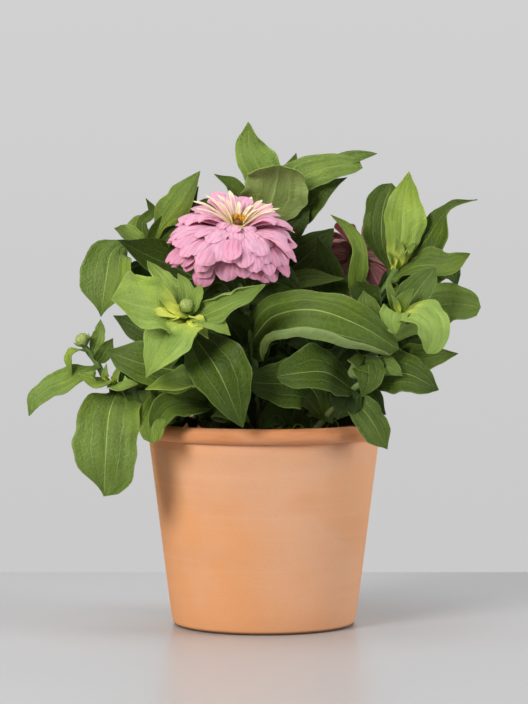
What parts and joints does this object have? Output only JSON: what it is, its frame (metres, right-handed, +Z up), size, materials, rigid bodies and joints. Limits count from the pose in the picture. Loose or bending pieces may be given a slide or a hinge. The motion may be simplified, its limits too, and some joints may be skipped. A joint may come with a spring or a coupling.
{
  "type": "potted common zinnia",
  "caption": "Bushy zinnia with a double pink bloom, a faded bloom, round buds and opposite leaves, growing in a plain tapered terracotta pot of soil.",
  "frame": {"origin": "centre of the pot's foot, on the surface that the pot stands on", "axes": "+Z up; -Y towards the side that shows the open bloom; +X to the right seen from that side"},
  "size_m": [0.2664, 0.2258, 0.3022],
  "materials": {
    "terracotta": "unglazed terracotta, matte, with faint turning lines",
    "potting_soil": "dark crumbly potting soil, matte",
    "foliage": "matte green leaves with a fine rough nap and paler veins",
    "pink_petals": "velvety pink petals with fine lengthwise lines",
    "cream_petals": "cream petals tinged with pink at the edge",
    "golden_florets": "golden-yellow florets, matte",
    "faded_petals": "dry brownish-mauve petals, matte",
    "brown_florets": "dry brown florets, matte"
  },
  "bodies": {
    "root": {"pot": "terracotta", "soil": "potting_soil", "flower_stem": "foliage", "bud_stem": "foliage", "side_stem": "foliage", "left_stem": "foliage", "crown_stem": "foliage", "high_stem": "foliage", "middle_stem": "foliage", "low_stem": "foliage", "faded_stem": "foliage", "rear_left_stem": "foliage", "rear_stem": "foliage", "rear_right_stem": "foliage", "main_petals": "pink_petals", "main_inner_petals": "cream_petals", "main_disc": "golden_florets", "faded_petals": "faded_petals", "faded_disc": "brown_florets"}
  },
  "joints": []
}
